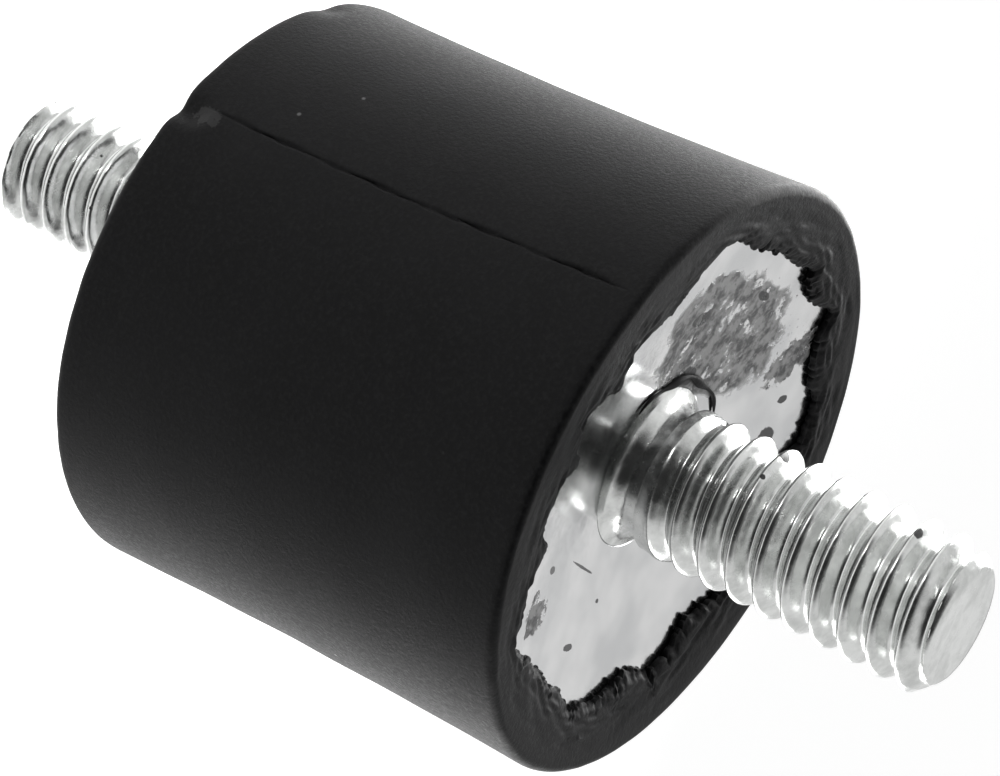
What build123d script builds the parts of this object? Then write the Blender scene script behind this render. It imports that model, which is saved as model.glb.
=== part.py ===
"""Cylindrical rubber vibration mount with a threaded stud at each end.

The axis of the mount is +Z and the origin is the centre of the rubber's lower end. A rubber
cylinder is moulded round two dished steel plates. It grips each plate at its rim and laps over
its outer face as a thin skin, which leaves a window of bare plate round the stud. Each stud
fills the hole of its plate, and its coned head bears on the back of the plate inside the rubber.

Sizes are in millimetres. Each end is drawn with the rim of the rubber at height 0 and the stud
pointing up, and depths are measured down from that rim.
"""

import os
from math import cos, radians, tan

from build123d import *

# ---- Rubber body --------------------------------------------------------------------------
BODY_RADIUS = 12.7  # at the rim of each end
BODY_HEIGHT = 21.6  # from rim to rim
WAIST_DEPTH = 0.2  # how far the side draws in at mid height
RIM_RADIUS = 0.6  # rounding of the outer edge at each end
RIM_LAND = 0.5  # width of the flat ring that meets the mating surface
RIM_WALL = 1.2  # rubber outside the edge of each plate
SKIN = 0.45  # rubber lapped over the outer face of each plate
SKIN_LAP = 2.2  # how far the skin reaches in from the edge of the plate

# ---- Dished end plates --------------------------------------------------------------------
DISH_ANGLE = 10.0  # slope of each end, deepest at the stud
PLATE_THICKNESS = 1.5  # measured along the axis

# ---- Studs, 1/4"-20 UNC -------------------------------------------------------------------
THREAD_RADIUS = 3.175  # over the crests of the thread
THREAD_PITCH = 1.27
NECK_LENGTH = 1.2  # bare blank between the plate and the first thread
NECK_FILLET = 0.6  # rounding at the foot of the neck
SHOULDER_STEP = 0.25  # how far the shoulder stands out past the thread
HEAD_STEP = 2.0  # how far the head stands out past the shoulder
HEAD_THICKNESS = 1.2  # at the edge of the head
UPPER_REACH = 12.5  # how far the upper stud stands out of the rubber
LOWER_REACH = 13.2  # how far the lower stud stands out of the rubber

# ---- Sizes that follow --------------------------------------------------------------------
SLOPE = tan(radians(DISH_ANGLE))
SKIN_DROP = SKIN / cos(radians(DISH_ANGLE))
LAND_INNER_RADIUS = BODY_RADIUS - RIM_RADIUS - RIM_LAND
PLATE_RADIUS = BODY_RADIUS - RIM_WALL
WINDOW_RADIUS = PLATE_RADIUS - SKIN_LAP
BLANK_RADIUS = THREAD_RADIUS - 0.325 * THREAD_PITCH
ROOT_RADIUS = THREAD_RADIUS - 0.613 * THREAD_PITCH
SHOULDER_RADIUS = THREAD_RADIUS + SHOULDER_STEP
HEAD_RADIUS = SHOULDER_RADIUS + HEAD_STEP


def skin_depth(radius):
    """Depth of the dished rubber face at a radius."""
    return (LAND_INNER_RADIUS - radius) * SLOPE


def plate_depth(radius):
    """Depth of the plate's outer face, one skin below the rubber face."""
    return skin_depth(radius) + SKIN_DROP


def seat_depth(radius):
    """Depth of the plate's inner face, where the head of the stud bears."""
    return plate_depth(radius) + PLATE_THICKNESS


def turned(*profile):
    """Solid of revolution about the axis from (radius, depth) corners."""
    outline = Polyline(*[(radius, 0, -depth) for radius, depth in profile], close=True)
    return revolve(make_face(outline), Axis.Z)


def ring_edge(solid, radius, depth):
    """The circular edge of a turned solid at this radius and depth."""

    def matches(edge):
        return abs(edge.radius - radius) < 0.001 and abs(edge.center().Z + depth) < 0.001

    return solid.edges().filter_by(GeomType.CIRCLE).filter_by(matches)


def plate():
    """Dished disc whose hole is filled by the shoulder of the stud."""
    return turned(
        (SHOULDER_RADIUS, plate_depth(SHOULDER_RADIUS)),
        (PLATE_RADIUS, plate_depth(PLATE_RADIUS)),
        (PLATE_RADIUS, seat_depth(PLATE_RADIUS)),
        (SHOULDER_RADIUS, seat_depth(SHOULDER_RADIUS)),
    )


def stud(reach):
    """Headed stud: coned head, shoulder, filleted neck, threaded length and lead chamfer."""
    foot = plate_depth(SHOULDER_RADIUS)
    neck_top = foot - NECK_LENGTH
    thread_start = neck_top - (THREAD_RADIUS - BLANK_RADIUS)
    lead_start = (THREAD_RADIUS - ROOT_RADIUS) - reach
    head_bottom = seat_depth(HEAD_RADIUS) + HEAD_THICKNESS
    blank = turned(
        (0, head_bottom),
        (HEAD_RADIUS, head_bottom),
        (HEAD_RADIUS, seat_depth(HEAD_RADIUS)),
        (SHOULDER_RADIUS, seat_depth(SHOULDER_RADIUS)),
        (SHOULDER_RADIUS, foot),
        (BLANK_RADIUS, foot),
        (BLANK_RADIUS, neck_top),
        (THREAD_RADIUS, thread_start),
        (THREAD_RADIUS, lead_start),
        (ROOT_RADIUS, -reach),
        (0, -reach),
    )
    widest = 0.9 * min(SHOULDER_RADIUS - BLANK_RADIUS, NECK_LENGTH)
    return fillet(ring_edge(blank, BLANK_RADIUS, foot), min(NECK_FILLET, widest))


def window():
    """Opening in the skin over a plate, flared so that the skin thins to its edge."""
    mouth_radius = WINDOW_RADIUS + SKIN / 2
    clear_of_rubber = -1
    return turned(
        (0, plate_depth(0)),
        (WINDOW_RADIUS, plate_depth(WINDOW_RADIUS)),
        (mouth_radius, skin_depth(mouth_radius)),
        (mouth_radius, clear_of_rubber),
        (0, clear_of_rubber),
    )


def moulded_block():
    """Waisted cylinder with dished ends and rounded rims, before anything is taken out."""
    floor = skin_depth(0)
    side = ThreePointArc(
        (BODY_RADIUS, 0, 0),
        (BODY_RADIUS - WAIST_DEPTH, 0, BODY_HEIGHT / 2),
        (BODY_RADIUS, 0, BODY_HEIGHT),
    )
    ends = Polyline(
        (BODY_RADIUS, 0, BODY_HEIGHT),
        (LAND_INNER_RADIUS, 0, BODY_HEIGHT),
        (0, 0, BODY_HEIGHT - floor),
        (0, 0, floor),
        (LAND_INNER_RADIUS, 0, 0),
        (BODY_RADIUS, 0, 0),
    )
    block = revolve(make_face([side, ends]), Axis.Z)
    rims = ring_edge(block, BODY_RADIUS, 0) + ring_edge(block, BODY_RADIUS, -BODY_HEIGHT)
    return fillet(rims, RIM_RADIUS)


def build():
    """Every piece in its place, by node name."""
    upper_end = Pos(0, 0, BODY_HEIGHT)
    lower_end = Rot(180, 0, 0)
    pieces = {
        "upper_plate": upper_end * plate(),
        "upper_stud": upper_end * stud(UPPER_REACH),
        "lower_plate": lower_end * plate(),
        "lower_stud": lower_end * stud(LOWER_REACH),
    }
    rubber = moulded_block() - upper_end * window() - lower_end * window()
    for insert in list(pieces.values()):
        rubber = rubber - insert
    pieces["rubber_body"] = rubber
    return pieces


os.makedirs("parts", exist_ok=True)
for node, piece in build().items():
    export_step(piece, f"parts/{node}.step")
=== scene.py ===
"""Looks of a cylindrical rubber vibration mount with a zinc-plated stud at each end.

Shapes are worked out in millimetres in the CAD frame, with the axis of the mount on Z, and are
made into meshes in metres. Every surface is a grid of rings about the axis, so each has a
function that says how far it lies from the axis at each angle.
"""

import math

import bpy
import numpy as np
from mathutils import Matrix, Vector


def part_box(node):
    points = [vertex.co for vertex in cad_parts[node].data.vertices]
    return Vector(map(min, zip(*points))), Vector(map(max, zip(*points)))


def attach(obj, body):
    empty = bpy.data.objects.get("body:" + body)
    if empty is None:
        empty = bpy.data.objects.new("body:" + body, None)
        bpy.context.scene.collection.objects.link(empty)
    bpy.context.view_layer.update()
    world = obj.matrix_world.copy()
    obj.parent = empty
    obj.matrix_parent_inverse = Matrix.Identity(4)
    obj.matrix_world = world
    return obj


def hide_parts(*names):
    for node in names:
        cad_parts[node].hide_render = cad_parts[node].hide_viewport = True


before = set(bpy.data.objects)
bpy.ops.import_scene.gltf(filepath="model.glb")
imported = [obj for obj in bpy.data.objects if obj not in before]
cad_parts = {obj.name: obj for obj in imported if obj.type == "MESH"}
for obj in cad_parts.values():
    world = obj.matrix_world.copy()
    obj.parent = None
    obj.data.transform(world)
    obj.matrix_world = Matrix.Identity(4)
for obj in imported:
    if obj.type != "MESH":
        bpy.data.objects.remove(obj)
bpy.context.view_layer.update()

MM = 1000  # millimetres in a metre

# ---- Sizes that the CAD model has, in millimetres ---------------------------------------------
body_low, body_high = (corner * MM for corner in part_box("rubber_body"))
BODY_RADIUS = (body_high.x - body_low.x) / 2
HEIGHT = body_high.z - body_low.z
UPPER_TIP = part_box("upper_stud")[1].z * MM - HEIGHT
LOWER_TIP = -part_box("lower_stud")[0].z * MM
PLATE_RADIUS = (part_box("upper_plate")[1].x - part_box("upper_plate")[0].x) * MM / 2
HEAD_RADIUS = (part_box("upper_stud")[1].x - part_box("upper_stud")[0].x) * MM / 2
LAND_RADIUS = 11.6  # inner edge of the flat ring at each end
SLOPE = math.tan(math.radians(10.0))
SKIN = 0.457  # rubber over a plate's face, measured along the axis
PLATE_THICKNESS = 1.5
HEAD_THICKNESS = 1.2
SHOULDER_RADIUS = 3.425
THREAD_RADIUS = 3.175
PITCH = 1.27
WAIST_DEPTH = 0.20

# ---- Sizes of the looks alone, in millimetres -------------------------------------------------
ROOT_RADIUS = 2.46
NECK_RADIUS = 2.55
FOOT_HEIGHT = 0.95  # rounding at the foot of the neck
THREAD_START = 1.3  # rise above the plate
START_STEP = 0.1  # half the height of the step from neck to thread
RUN_IN_FROM = 0.35  # the thread deepens from here, above its start
RUN_IN_TO = 1.9  # to its full depth here
UPPER_CREST = 0.22  # rise of a crest above the foot of the upper stud
LOWER_CREST = 0.85
RIM_HEIGHT = 0.4  # height of the rounded rim at each end
CLEARANCE = 0.004  # keeps the rubber inside the CAD model's box

TURN = 2 * math.pi
LEAN = math.radians(1.445)  # the studs and plates lie this far off the line of the rubber


def lean_metal(points):
    """Points in mm turned about Y through the middle of the upper rim, as the metal lies."""
    moved = points - np.array((0.0, 0.0, HEIGHT))
    across = moved[:, 0] * math.cos(LEAN) - moved[:, 2] * math.sin(LEAN)
    along = moved[:, 0] * math.sin(LEAN) + moved[:, 2] * math.cos(LEAN)
    return np.stack([across, moved[:, 1], along + HEIGHT], axis=1)


def lean_rims(points):
    """Points of the rubber with both rims square to the metal, while its side stays upright."""
    slid = points.copy()
    slid[:, 2] += slid[:, 0] * math.tan(LEAN)
    return slid


def plate_depth(radius):
    """Depth of a plate's outer face below the rim of the rubber."""
    return (LAND_RADIUS - radius) * SLOPE + SKIN


# ---- Irregular shapes, always the same for the same seed --------------------------------------
def ripple(angle, seed, low, high, fall=1.0):
    """Uneven line round the axis: waves from low to high per turn, about 1 at its largest."""
    rng = np.random.default_rng(seed)
    total = np.zeros_like(angle)
    norm = 0.0
    for wave in range(low, high + 1):
        size = wave ** -fall
        total += size * np.cos(wave * angle + rng.uniform(0, TURN))
        norm += size * size
    return total / math.sqrt(norm) / 1.6


def patchy(angle, height, seed, waves, low, high):
    """Uneven surface over angle and height, with features from low to high per radian or mm."""
    rng = np.random.default_rng(seed)
    total = np.zeros(np.broadcast(angle, height).shape)
    for _ in range(waves):
        turns = rng.integers(max(1, int(low * 6)), int(high * 9))
        rise = rng.uniform(-1, 1) * high * 1.3
        total += np.cos(turns * angle + rise * height + rng.uniform(0, TURN))
    return total / math.sqrt(waves)


def bump(angle, centre, width):
    """Smooth hump round the axis, with its centre and half width in degrees."""
    gap = (np.degrees(angle) - centre + 180) % 360 - 180
    return np.exp(-((gap / width) ** 2))


def smooth(low, high, value):
    """0 below low, 1 above high, smooth between."""
    share = np.clip((value - low) / (high - low), 0, 1)
    return share * share * (3 - 2 * share)


# ---- Meshes -----------------------------------------------------------------------------------
def put_in_scene(name, data):
    """New object with this data, linked into the scene."""
    made = bpy.data.objects.new(name, data)
    bpy.context.scene.collection.objects.link(made)
    return made


def smooth_piece(name, points, faces, sharp_degrees):
    """Object from points in mm, shaded smooth except across edges sharper than an angle."""
    mesh = bpy.data.meshes.new(name)
    mesh.from_pydata((points / MM).tolist(), [], faces)
    mesh.polygons.foreach_set("use_smooth", [True] * len(mesh.polygons))
    mesh.set_sharp_from_angle(angle=math.radians(sharp_degrees))
    mesh.update()
    return put_in_scene(name, mesh)


def bands(rows, count, closed):
    """Faces between each ring and the next, and from the last to the first where closed."""
    across = np.arange(count)
    after = (across + 1) % count
    faces = []
    for row in range(rows if closed else rows - 1):
        low, high = row * count, (row + 1) % rows * count
        quads = np.stack([low + across, low + after, high + after, high + across], axis=1)
        faces.extend(quads.tolist())
    return faces


def ring_mesh(name, rings, sharp_degrees):
    """Closed mesh from rings of points in mm, each (count, 3), with a pole at each end."""
    rows, count = len(rings), len(rings[0])
    poles = [rings[0].mean(axis=0), rings[-1].mean(axis=0)]
    across = np.arange(count)
    after = (across + 1) % count
    first_pole = np.full(count, rows * count)
    top = (rows - 1) * count
    faces = bands(rows, count, closed=False)
    faces.extend(np.stack([after, across, first_pole], axis=1).tolist())
    faces.extend(np.stack([top + across, top + after, first_pole + 1], axis=1).tolist())
    return smooth_piece(name, np.concatenate([*rings, poles]), faces, sharp_degrees)


def hollow_ring_mesh(name, rings, sharp_degrees):
    """Closed mesh from rings that meet each other round a hole."""
    faces = bands(len(rings), len(rings[0]), closed=True)
    return smooth_piece(name, np.concatenate(rings), faces, sharp_degrees)


def ring(angle, radius, height):
    """Points round the axis at a radius and height, each a number or one per angle."""
    radius = np.broadcast_to(radius, angle.shape)
    height = np.broadcast_to(height, angle.shape)
    return np.stack([radius * np.cos(angle), radius * np.sin(angle), height], axis=1)


def uneven_angles(count, crowd_at, crowd_width, crowd_share):
    """Angles all round the axis, closer together near one angle in degrees."""
    fine = np.linspace(0, TURN, 7201)
    weight = 1 + bump(fine, crowd_at, crowd_width) * crowd_share
    length = np.concatenate([[0], np.cumsum((weight[1:] + weight[:-1]) / 2)])
    return np.interp(np.arange(count) / count * length[-1], length, fine)


def place(piece, node, material):
    """Puts a piece on the body, in the place of its CAD node where it has one."""
    piece.data.materials.append(material)
    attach(piece, "root")
    if node:
        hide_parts(node)


# ---- Rubber body ------------------------------------------------------------------------------
SEAM_ANGLE = 65.2  # degrees round the axis of the crack along the mould's parting line


def seam_cut(angle, height):
    """Depth in mm of the fine crack that runs along the side, with a jog two thirds up."""
    wander = 0.10 * np.sin(height * 1.9) + 0.06 * np.sin(height * 5.3 + 1)
    jog = 0.45 * (smooth(13.3, 13.6, height) - 0.5) + 0.25 * smooth(16, 19, height)
    gap = (np.degrees(angle) - SEAM_ANGLE - wander + jog + 180) % 360 - 180
    width = 0.30 + 0.12 * np.sin(height * 2.7) + 0.05 * np.sin(height * 11)
    along = smooth(1.2, 1.8, height) * (1 - smooth(20.2, 20.8, height))
    depth = 0.10 + 0.035 * np.sin(height * 1.3 + 2) + 0.02 * np.sin(height * 6.1)
    return depth * along * np.exp(-((gap / width) ** 2))


def side_radius(angle, height):
    """Radius of the rubber's side: waisted, uneven, with its crack, two chips and a dip."""
    middle = (height - HEIGHT / 2) / (HEIGHT / 2)
    waist = WAIST_DEPTH * (1 - middle**2)
    uneven = 0.02 * (1 + patchy(angle, height, 11, 24, 0.3, 1.2) / 2)
    chip = 0.30 * bump(angle, 67.5, 2.6) * (1 - smooth(0.8, 1.7, height))
    tear = 0.16 * bump(angle, 27, 4.0) * (1 - smooth(0.5, 1.3, height))
    shy = 0.20 * bump(angle, -135, 40) * smooth(HEIGHT - 6, HEIGHT, height)
    return BODY_RADIUS - CLEARANCE - waist - uneven - seam_cut(angle, height) - chip - tear - shy


# Tears in the edge of the upper skin: middle and half width in degrees, reach in mm.
TEARS = (
    (34, 11, 0.95), (56, 10, -0.6), (76, 4.5, -1.25), (87, 3.5, 0.6), (97, 3, -1.15),
    (119, 3.5, -0.9), (137, 9, 0.95), (162, 6, -0.45), (175, 5, -0.4), (-150, 9, -0.85),
    (-140, 1.0, 0.5), (-122, 7, -0.75), (-79, 4, -1.6), (-62, 9, 0.6), (-33, 4.5, 0.9),
    (-12, 4, 0.4),
)


def upper_lip(angle):
    """Radius of the torn inner edge of the skin at the upper end."""
    edge = 9.85 + 0.16 * ripple(angle, 4, 10, 60, 0.7) + 0.13 * ripple(angle, 5, 50, 240, 0.2)
    for middle, width, reach in TEARS:
        edge += reach * bump(angle, middle, width)
    return edge


def lower_lip(angle):
    """Radius of the skin's inner edge at the lower end, which is torn less."""
    return 9.3 + 0.35 * ripple(angle, 23, 2, 40, 0.8) + 0.08 * ripple(angle, 24, 60, 200, 0.3)


def end_rings(angle, lip, height_at_rim, seed):
    """Rings over one end, as (radius, depth below the rim, share that follows the metal)."""
    made = []
    rim = 0.34 + 0.08 * ripple(angle, seed, 2, 9) + 0.03 * ripple(angle, seed + 1, 9, 60, 0.6)
    side = side_radius(angle, np.full_like(angle, height_at_rim))
    for step in np.linspace(0, 1, 7)[1:]:
        turn = step * math.pi / 2
        made.append((side - rim + rim * math.cos(turn), rim - rim * math.sin(turn), 0))
    rim_top = side - rim
    for share in np.concatenate([np.linspace(0, 0.55, 9)[1:], np.linspace(0.6, 1, 17)]):
        radius = rim_top + (lip - rim_top) * share
        level = 0.02 + 0.10 * smooth(0, 0.5, share) + np.maximum(0, (11.0 - radius) * SLOPE)
        streak = patchy(np.ones_like(angle), radius * 2.2, seed + 2, 12, 1, 3) * 0.010
        rough = patchy(angle, radius * 3, seed + 3, 40, 1.5, 5) * 0.020 * smooth(0.05, 0.5, share)
        thin = 0.14 * smooth(0.85, 1.0, share)
        made.append((radius, level + streak + rough * (1 + share) + thin, 0))
    thick = made[-1][1]
    for reach, share in ((-0.05, 0.25), (-0.04, 0.6), (0.06, 0.9), (0.28, 0.97), (0.6, 1.0)):
        radius = lip + reach
        made.append((radius, thick + (plate_depth(radius) - thick) * share, 0))
    seat = plate_depth(HEAD_RADIUS) + PLATE_THICKNESS
    for radius, depth in (
        (PLATE_RADIUS, plate_depth(PLATE_RADIUS)),
        (PLATE_RADIUS, plate_depth(PLATE_RADIUS) + PLATE_THICKNESS),
        (HEAD_RADIUS, seat),
        (HEAD_RADIUS, seat + HEAD_THICKNESS),
        (1.0, seat + HEAD_THICKNESS),
    ):
        made.append((radius, depth, 1))
    return made


def rubber_body():
    """The whole moulding: outer surface, torn skins and the space round plates and heads."""
    angle = uneven_angles(620, SEAM_ANGLE, 1.6, 4.0)

    def laid(radius, height, with_metal):
        points = ring(angle, radius, height)
        return lean_metal(points) if with_metal else lean_rims(points)

    lower = end_rings(angle, lower_lip(angle), RIM_HEIGHT, 61)
    upper = end_rings(angle, upper_lip(angle), HEIGHT - RIM_HEIGHT, 41)
    rings = [laid(radius, depth, metal) for radius, depth, metal in reversed(lower)]
    for height in np.linspace(RIM_HEIGHT, HEIGHT - RIM_HEIGHT, 58):
        rings.append(laid(side_radius(angle, np.full_like(angle, height)), height, 0))
    rings += [laid(radius, HEIGHT - depth, metal) for radius, depth, metal in upper]
    return ring_mesh("rubber_body_skin", rings, 42)


# ---- End plates -------------------------------------------------------------------------------
def end_plate(name, upward):
    """Dished plate with slightly uneven faces, from its hole to its edge."""
    angle = np.linspace(0, TURN, 180, endpoint=False)
    edge = 0.12
    profile = [
        (SHOULDER_RADIUS, plate_depth(SHOULDER_RADIUS) + PLATE_THICKNESS),
        (SHOULDER_RADIUS, plate_depth(SHOULDER_RADIUS) + 0.05),
        (SHOULDER_RADIUS + 0.05, plate_depth(SHOULDER_RADIUS + 0.05)),
    ]
    for radius in np.linspace(SHOULDER_RADIUS + 0.3, PLATE_RADIUS - edge, 44):
        profile.append((radius, plate_depth(radius)))
    profile.append((PLATE_RADIUS, plate_depth(PLATE_RADIUS) + edge))
    profile.append((PLATE_RADIUS, plate_depth(PLATE_RADIUS) + PLATE_THICKNESS))
    rings = []
    for radius, depth in profile:
        bare = 4 < radius < PLATE_RADIUS - 0.3 and depth < plate_depth(radius) + 0.2
        dent = 0.006 * patchy(angle, radius, 71, 18, 0.4, 1.4) if bare else 0
        height = HEIGHT - depth - dent if upward else depth + dent
        rings.append(lean_metal(ring(angle, radius, height)))
    return hollow_ring_mesh(name, rings, 35)


# ---- Studs ------------------------------------------------------------------------------------
def thread_wave():
    """One pitch of a rolled thread, from 0 at the root to 1 at the crest, with rounded corners."""
    steps = 800
    place_in_pitch = np.linspace(-0.5, 0.5, steps + 1)
    raw = np.clip((0.42 - np.abs(place_in_pitch)) / 0.34, 0, 1)
    spread = np.exp(-((place_in_pitch / 0.11) ** 2))
    spread /= spread.sum()
    rounded = np.convolve(np.tile(raw[:-1], 3), spread, "same")
    return place_in_pitch, rounded[steps : 2 * steps + 1]


WAVE_PLACE, WAVE_HEIGHT = thread_wave()


def stud_radius(angle, rise, length, crest_phase):
    """Radius of a stud at a rise above its foot: neck, first wide crest, thread, lead chamfer."""
    phase = (rise - crest_phase) / PITCH - angle / TURN
    wave = np.interp((phase + 0.5) % 1 - 0.5, WAVE_PLACE, WAVE_HEIGHT)
    full_from, full_to = THREAD_START + RUN_IN_FROM, THREAD_START + RUN_IN_TO
    run_in = smooth(full_from, full_to, rise - (angle / TURN - 0.5) * 0.4)
    thread = THREAD_RADIUS - (THREAD_RADIUS - ROOT_RADIUS) * (1 - wave) * (0.15 + 0.85 * run_in)
    thread -= 0.10 * (1 - run_in)
    step_share = smooth(THREAD_START - START_STEP, THREAD_START + START_STEP, rise)
    step = NECK_RADIUS + (THREAD_RADIUS - NECK_RADIUS) * step_share
    hollow = 1 - np.clip(rise / FOOT_HEIGHT, 0, 1)
    foot = NECK_RADIUS + (SHOULDER_RADIUS - NECK_RADIUS) * (1 - np.sqrt(1 - hollow**2))
    outline = np.where(rise < THREAD_START - START_STEP, foot, step)
    lead = ROOT_RADIUS - 0.02 + np.clip(length - rise, 0, 9) * 0.92
    rough = 0.005 * patchy(angle, rise, 81, 20, 0.5, 3)
    return np.minimum(np.minimum(outline, np.where(rise < THREAD_START, 9, thread)), lead) + rough


def stud(name, reach, upward, crest_phase):
    """Headed stud with a real helical thread, drawn up from its head."""
    angle = np.linspace(0, TURN, 192, endpoint=False)
    foot = -plate_depth(SHOULDER_RADIUS)
    length = reach - foot - 0.08
    under = -PLATE_THICKNESS
    rings = [
        (np.full_like(angle, HEAD_RADIUS), under - HEAD_THICKNESS),
        (np.full_like(angle, HEAD_RADIUS), under + (HEAD_RADIUS - SHOULDER_RADIUS) * SLOPE),
        (np.full_like(angle, SHOULDER_RADIUS), under),
        (np.full_like(angle, SHOULDER_RADIUS), -0.03),
    ]
    for rise in np.concatenate([np.linspace(0.0, 1.0, 18), np.arange(1.05, length - 0.03, 0.05)]):
        rings.append((stud_radius(angle, rise, length, crest_phase), rise))
    end = stud_radius(angle, length - 0.02, length, crest_phase)
    for share, drop in ((0.97, 0.0), (0.85, 0.0), (0.6, 0.02), (0.3, 0.03)):
        rings.append((end * share, length - drop))
    made = []
    for radius, rise in rings:
        height = HEIGHT + foot + rise if upward else -foot - rise
        made.append(lean_metal(ring(angle if upward else -angle, radius, height)))
    return ring_mesh(name, made, 60)


def rubber_flash():
    """Thread of torn rubber that lies on the upper plate, round the foot of the stud."""
    rings = []
    around = np.linspace(0, TURN, 10, endpoint=False)
    for share in np.linspace(0, 1, 40):
        turn = math.radians(64 - 112 * share)
        radius = 3.75 + 0.55 * share**2 + 0.08 * math.sin(share * 17)
        half = 0.13 * math.sin(math.pi * (0.06 + 0.9 * share)) * (1 + 0.35 * math.sin(share * 23))
        out = radius + half * 1.3 * np.cos(around)
        height = HEIGHT - plate_depth(radius) + 0.08 + half * np.sin(around)
        rings.append(np.stack([out * math.cos(turn), out * math.sin(turn), height], axis=1))
    return ring_mesh("rubber_flash", [lean_metal(points) for points in rings], 60)


# ---- Colours ----------------------------------------------------------------------------------
RUBBER_DARK = (0.003, 0.003, 0.0033)
RUBBER_CLOUD = (0.0055, 0.0055, 0.006)
RUBBER_GRAIN = (0.015, 0.015, 0.0155)
SMEAR_GREY = (0.12, 0.12, 0.12)
DUST_GREY = (0.16, 0.16, 0.16)
PLATE_DULL = (0.56, 0.565, 0.57)
PLATE_BRIGHT = (0.72, 0.72, 0.72)
FILM_THIN = (0.30, 0.30, 0.30)
FILM_THICK = (0.08, 0.08, 0.082)
PLATE_SPECK = (0.035, 0.035, 0.036)
STUD_BRIGHT = (0.72, 0.73, 0.72)
STUD_DULL = (0.54, 0.55, 0.54)
STUD_SPECK = (0.03, 0.03, 0.03)
FLOOR_WHITE = (0.86, 0.86, 0.86, 1)

# ---- Marks ------------------------------------------------------------------------------------
PATCH_DEPTH = 3.0  # half size along the axis of a patch that has two half sizes

# Dust on the rubber's side: degrees round the axis, height and half size in mm.
DUST = ((115, 14.4, 0.09), (125, 15.6, 0.08), (131, 9.2, 0.09), (146, 6.4, 0.10))

# Specks on the plates: x and y, half sizes along them, all in mm, and turn in degrees.
PLATE_MARKS = (
    (3.9, 0.8, 0.45, 0.6, 0), (-5.1, 5.2, 0.16, 0.3, 0), (-7.7, 0.8, 0.16, 0.4, 10),
    (-4.6, 1.9, 0.06, 1.2, -4), (-5.6, -0.5, 0.10, 0.14, 0), (5.0, -7.0, 0.2, 0.3, 30),
    (3.3, -7.4, 0.5, 0.5, 0), (6.0, 3.2, 0.35, 0.6, 30), (8.1, -0.6, 0.2, 0.5, 0),
)

# Specks of rubber on the threads: degrees round the axis, height and half size in mm.
STUD_MARKS = (
    (76, 22.2, 0.30), (44, 31.7, 0.30), (35, 24.4, 0.28), (28, 25.2, 0.35), (60, 25.3, 0.12),
    (25, 33.0, 0.25), (94, -7.4, 0.12), (50, -8.6, 0.16), (52, -10.0, 0.12),
)


# ---- Materials --------------------------------------------------------------------------------
def new_material(name):
    """New material, with its node tree and its principled shader."""
    material = bpy.data.materials.new(name)
    material.use_nodes = True
    tree = material.node_tree
    return material, tree, tree.nodes["Principled BSDF"]


def add(tree, kind, inputs=None, **settings):
    """New node with its settings, and values or links for its inputs by name or number."""
    node = tree.nodes.new(kind)
    for key, value in settings.items():
        setattr(node, key, value)
    for key, value in (inputs or {}).items():
        if isinstance(value, bpy.types.NodeSocket):
            tree.links.new(value, node.inputs[key])
        else:
            node.inputs[key].default_value = value
    return node


def millimetres(tree):
    """Object position in millimetres."""
    where = add(tree, "ShaderNodeTexCoord")
    scaled = add(tree, "ShaderNodeVectorMath", {0: where.outputs["Object"]}, operation="SCALE")
    scaled.inputs["Scale"].default_value = MM
    return scaled.outputs["Vector"]


def noise(tree, where, scale, detail=3.0, rough=0.5):
    """Noise value with features about 1/scale mm wide."""
    made = add(tree, "ShaderNodeTexNoise", {"Vector": where, "Scale": scale, "Detail": detail})
    made.inputs["Roughness"].default_value = rough
    return made.outputs["Fac"]


def remap(tree, value, low, high, to_low=0.0, to_high=1.0):
    """Value mapped smoothly from low..high to to_low..to_high."""
    made = add(tree, "ShaderNodeMapRange", {"Value": value}, interpolation_type="SMOOTHSTEP")
    ends = {"From Min": low, "From Max": high, "To Min": to_low, "To Max": to_high}
    for key, number in ends.items():
        made.inputs[key].default_value = number
    return made.outputs["Result"]


def calc(tree, operation, first, second=0.0):
    """Math node on two values."""
    return add(tree, "ShaderNodeMath", {0: first, 1: second}, operation=operation).outputs[0]


def mix_colour(tree, share, first, second):
    """Colour between first and second."""
    made = add(tree, "ShaderNodeMix", {"Factor": share}, data_type="RGBA")
    for key, value in (("A", first), ("B", second)):
        socket = [s for s in made.inputs if s.name == key and s.type == "RGBA"][0]
        if isinstance(value, bpy.types.NodeSocket):
            tree.links.new(value, socket)
        else:
            socket.default_value = (*value, 1)
    return [s for s in made.outputs if s.type == "RGBA"][0]


def raise_surface(tree, shader, height, distance):
    """Bump on a shader from a height value, with the height of 1 in millimetres."""
    made = add(tree, "ShaderNodeBump", {"Height": height, "Distance": distance / MM})
    tree.links.new(made.outputs["Normal"], shader.inputs["Normal"])


def blot(tree, where, middle, size, turn=0.0, ragged=0.5, detail=1.1):
    """Mask of an uneven patch round a point, 1 inside and 0 outside, with its half sizes in mm."""
    mapped = add(tree, "ShaderNodeMapping", {"Vector": where}, vector_type="TEXTURE")
    mapped.inputs["Location"].default_value = middle
    mapped.inputs["Rotation"].default_value = (0, 0, math.radians(turn))
    mapped.inputs["Scale"].default_value = size if len(size) == 3 else (*size, PATCH_DEPTH)
    far = add(tree, "ShaderNodeVectorMath", {0: mapped.outputs["Vector"]}, operation="LENGTH")
    torn = noise(tree, where, detail, 5, 0.65)
    push = {0: torn, 1: ragged * 2.4, 2: -ragged * 1.2}
    pushed = add(tree, "ShaderNodeMath", push, operation="MULTIPLY_ADD")
    edge = calc(tree, "ADD", far.outputs["Value"], pushed.outputs[0])
    return remap(tree, edge, 1.05, 0.92)


def either(tree, masks):
    """The largest of several masks."""
    total = masks[0]
    for mask in masks[1:]:
        total = calc(tree, "MAXIMUM", total, mask)
    return total


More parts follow.
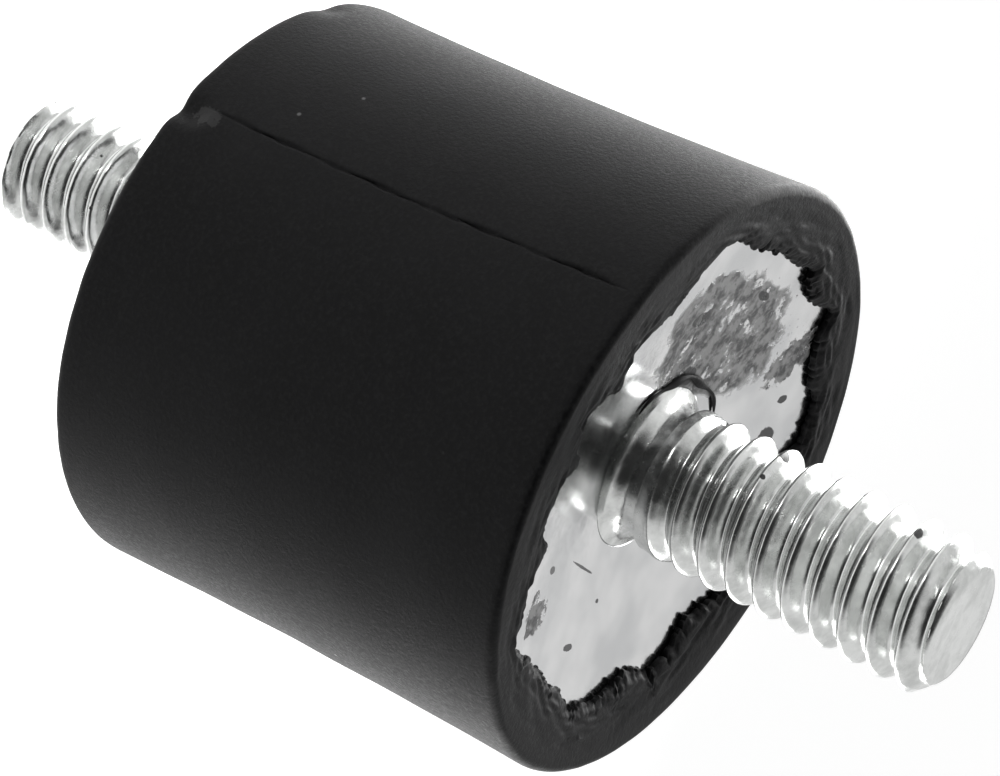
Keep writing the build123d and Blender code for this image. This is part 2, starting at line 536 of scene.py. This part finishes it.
def place_round_axis(radius, turn, height):
    """Point at a radius and height in mm, from its degrees round the axis."""
    turn = math.radians(turn)
    return (radius * math.cos(turn), radius * math.sin(turn), height)


def rubber_material():
    """Matt black rubber: fine grain, soft cloudy tone, a smear by the chip and specks of dust."""
    material, tree, shader = new_material("rubber_black")
    where = millimetres(tree)
    grain = noise(tree, where, 5.5, 4, 0.7)
    cloud = noise(tree, where, 0.16, 3, 0.5)
    tone = mix_colour(tree, remap(tree, cloud, 0.3, 0.7), RUBBER_DARK, RUBBER_CLOUD)
    tone = mix_colour(tree, remap(tree, grain, 0.4, 0.75), tone, RUBBER_GRAIN)
    spots = add(tree, "ShaderNodeTexVoronoi", {"Vector": where, "Scale": 0.42})
    spot = remap(tree, spots.outputs["Distance"], 0.05, 0.02)
    few = remap(tree, noise(tree, where, 0.9, 1), 0.52, 0.6)
    placed = []
    for turn, height, size in DUST:
        middle = place_round_axis(BODY_RADIUS, turn, height)
        placed.append(blot(tree, where, middle, (size, size, size), 0, 0.4, 3.0))
    dust = either(tree, [calc(tree, "MULTIPLY", spot, few), *placed])
    by_chip = place_round_axis(BODY_RADIUS, 67, 1.5)
    smear = blot(tree, where, by_chip, (0.5, 0.5, 0.7), 0, 0.9, 1.6)
    tone = mix_colour(tree, calc(tree, "MULTIPLY", smear, 0.25), tone, SMEAR_GREY)
    tone = mix_colour(tree, dust, tone, DUST_GREY)
    tree.links.new(tone, shader.inputs["Base Color"])
    tree.links.new(remap(tree, grain, 0.3, 0.7, 0.42, 0.58), shader.inputs["Roughness"])
    shader.inputs["Specular IOR Level"].default_value = 0.10
    raise_surface(tree, shader, grain, 0.025)
    return material


def plate_material():
    """Bright zinc plate with torn-off smears of rubber left on it."""
    material, tree, shader = new_material("plate_zinc")
    where = millimetres(tree)
    top = HEIGHT - 1.3
    fine = noise(tree, where, 3.0, 5, 0.6)
    wide = noise(tree, where, 0.35, 2, 0.5)
    tone = mix_colour(tree, remap(tree, wide, 0.3, 0.7), PLATE_DULL, PLATE_BRIGHT)
    film = blot(tree, where, (5.9, 0.4, top), (2.9, 5.0), 8, 0.34, 0.75)
    patches = [
        blot(tree, where, (6.6, -5.7, top), (1.5, 0.8), -25, 0.9, 1.7),
        blot(tree, where, (-6.9, 5.3, top), (0.9, 0.8), 40, 0.9, 1.9),
        blot(tree, where, (7.4, 3.4, top), (0.7, 1.2), 20, 0.7, 1.6),
    ]
    mottle = noise(tree, where, 1.5, 6, 0.7)
    film_tone = mix_colour(tree, remap(tree, mottle, 0.42, 0.62), FILM_THIN, FILM_THICK)
    covered = either(tree, [film, *patches])
    holes = remap(tree, noise(tree, where, 1.0, 5, 0.7), 0.62, 0.56)
    covered = calc(tree, "MULTIPLY", covered, holes)
    tone = mix_colour(tree, covered, tone, film_tone)
    marks = [
        blot(tree, where, (x, y, top), (wide_x, wide_y), turn, 0.35, 3.0)
        for x, y, wide_x, wide_y, turn in PLATE_MARKS
    ]
    crumbs = remap(tree, noise(tree, where, 4.0, 3, 0.7), 0.66, 0.70)
    near_film = blot(tree, where, (7.2, -1.5, top), (2.2, 5.0), 0, 0.3, 0.8)
    dark = either(tree, [*marks, calc(tree, "MULTIPLY", crumbs, near_film)])
    tone = mix_colour(tree, dark, tone, PLATE_SPECK)
    tree.links.new(tone, shader.inputs["Base Color"])
    hidden = either(tree, [calc(tree, "MULTIPLY", covered, 0.75), dark])
    bare = calc(tree, "SUBTRACT", 1.0, hidden)
    tree.links.new(bare, shader.inputs["Metallic"])
    polish = remap(tree, fine, 0.3, 0.7, 0.10, 0.20)
    rough = add(tree, "ShaderNodeMath", {0: covered, 1: 0.35, 2: polish}, operation="MULTIPLY_ADD")
    tree.links.new(rough.outputs[0], shader.inputs["Roughness"])
    film_relief = calc(tree, "MULTIPLY", covered, calc(tree, "MULTIPLY", mottle, 6.0))
    relief = calc(tree, "ADD", fine, film_relief)
    raise_surface(tree, shader, relief, 0.006)
    return material


def stud_material():
    """Bright zinc on a rolled thread, with specks of rubber on both studs."""
    material, tree, shader = new_material("stud_zinc")
    where = millimetres(tree)
    fine = noise(tree, where, 2.5, 4, 0.6)
    blotch = noise(tree, where, 0.9, 4, 0.6)
    tone = mix_colour(tree, remap(tree, blotch, 0.35, 0.7), STUD_BRIGHT, STUD_DULL)
    radius = THREAD_RADIUS - 0.1
    marks = []
    for turn, height, size in STUD_MARKS:
        middle = place_round_axis(radius, turn, height)
        marks.append(blot(tree, where, middle, (size, size, size), 0, 0.35, 2.6))
    dark = either(tree, marks)
    tone = mix_colour(tree, dark, tone, STUD_SPECK)
    tree.links.new(tone, shader.inputs["Base Color"])
    tree.links.new(calc(tree, "SUBTRACT", 1.0, dark), shader.inputs["Metallic"])
    tree.links.new(remap(tree, fine, 0.3, 0.7, 0.17, 0.28), shader.inputs["Roughness"])
    raise_surface(tree, shader, fine, 0.008)
    return material


# ---- Stage, light and camera ------------------------------------------------------------------
FLOOR_HEIGHT = -0.055  # metres, low enough for the shadow to fall outside the view

# Lamps: name, place in mm, point in mm that it faces, size in mm and power in watts.
LAMPS = (
    ("lamp_spark", (170, 255, 52), (0, 0, 22), 28, 0.10),
    ("lamp_behind", (88, -98, 24), (0, 0, 12), 120, 0.32),
    ("lamp_left", (-118, -92, 6), (0, 0, 12), 110, 0.13),
)

CAMERA_PLACE = (-1.11, 115.12, 70.37)  # mm
CAMERA_FORWARD = (0.0114, -0.8927, -0.4504)
CAMERA_UP = (0.9018, 0.2038, -0.3811)
CAMERA_LENS = 114.8  # mm


def studio_floor(height):
    """Plain pale floor, white to the camera where nothing shades it."""
    mesh = bpy.data.meshes.new("floor")
    half = 3.0
    around = ((-half, -half), (half, -half), (half, half), (-half, half))
    mesh.from_pydata([(x, y, height) for x, y in around], [], [(0, 1, 2, 3)])
    floor = put_in_scene("floor", mesh)
    material, tree, shader = new_material("floor_white")
    shader.inputs["Base Color"].default_value = FLOOR_WHITE
    shader.inputs["Roughness"].default_value = 0.9
    path = add(tree, "ShaderNodeLightPath")
    seen = calc(tree, "MAXIMUM", path.outputs["Is Camera Ray"], path.outputs["Is Glossy Ray"])
    glow = add(tree, "ShaderNodeEmission", {"Strength": calc(tree, "MULTIPLY", seen, 0.5)})
    both = add(tree, "ShaderNodeAddShader", {0: shader.outputs[0], 1: glow.outputs[0]})
    tree.links.new(both.outputs[0], tree.nodes["Material Output"].inputs["Surface"])
    mesh.materials.append(material)


def studio_world():
    """White surroundings, with the dark of the room in one part above the camera."""
    world = bpy.data.worlds.new("studio")
    bpy.context.scene.world = world
    world.use_nodes = True
    tree = world.node_tree
    back = tree.nodes["Background"]
    direction = add(tree, "ShaderNodeTexCoord").outputs["Generated"]
    dark_part = {0: direction, 1: (-0.10, 0.78, 0.62)}
    towards = add(tree, "ShaderNodeVectorMath", dark_part, operation="DOT_PRODUCT")
    dim = remap(tree, towards.outputs["Value"], 0.42, 0.86, 0.85, 0.03)
    path = add(tree, "ShaderNodeLightPath")
    strength = calc(tree, "MAXIMUM", dim, path.outputs["Is Camera Ray"])
    tree.links.new(strength, back.inputs["Strength"])
    back.inputs["Color"].default_value = (1, 1, 1, 1)


def soft_light(name, place_at, look_at, size, power):
    """Square area light, with its places and size in mm and its power in watts."""
    data = bpy.data.lights.new(name, "AREA")
    data.size = size / MM
    data.energy = power
    light = put_in_scene(name, data)
    light.location = Vector(place_at) / MM
    light.rotation_mode = "QUATERNION"
    light.rotation_quaternion = (Vector(look_at) / MM - light.location).to_track_quat("-Z", "Y")
    light.visible_camera = False


def camera():
    """Camera on the +Y side, above the mount and rolled so that the upper stud comes forward."""
    data = bpy.data.cameras.new("camera")
    data.sensor_width = 36
    data.lens = CAMERA_LENS
    data.clip_start = 0.005
    data.clip_end = 10
    made = put_in_scene("camera", data)
    bpy.context.scene.camera = made
    forward = Vector(CAMERA_FORWARD).normalized()
    right = forward.cross(Vector(CAMERA_UP)).normalized()
    up = right.cross(forward)
    turn = Matrix((right, up, -forward)).transposed()
    made.matrix_world = Matrix.Translation(Vector(CAMERA_PLACE) / MM) @ turn.to_4x4()


rubber = rubber_material()
plate_zinc = plate_material()
stud_zinc = stud_material()
place(rubber_body(), "rubber_body", rubber)
place(end_plate("upper_plate_bare", True), "upper_plate", plate_zinc)
place(end_plate("lower_plate_bare", False), "lower_plate", plate_zinc)
upper_stud = stud("upper_stud_thread", UPPER_TIP, True, UPPER_CREST)
place(upper_stud, "upper_stud", stud_zinc)
lower_stud = stud("lower_stud_thread", LOWER_TIP, False, LOWER_CREST)
place(lower_stud, "lower_stud", stud_zinc)
place(rubber_flash(), None, rubber)
studio_floor(FLOOR_HEIGHT)
studio_world()
for lamp in LAMPS:
    soft_light(*lamp)
camera()

bpy.context.scene.view_settings.view_transform = "Standard"
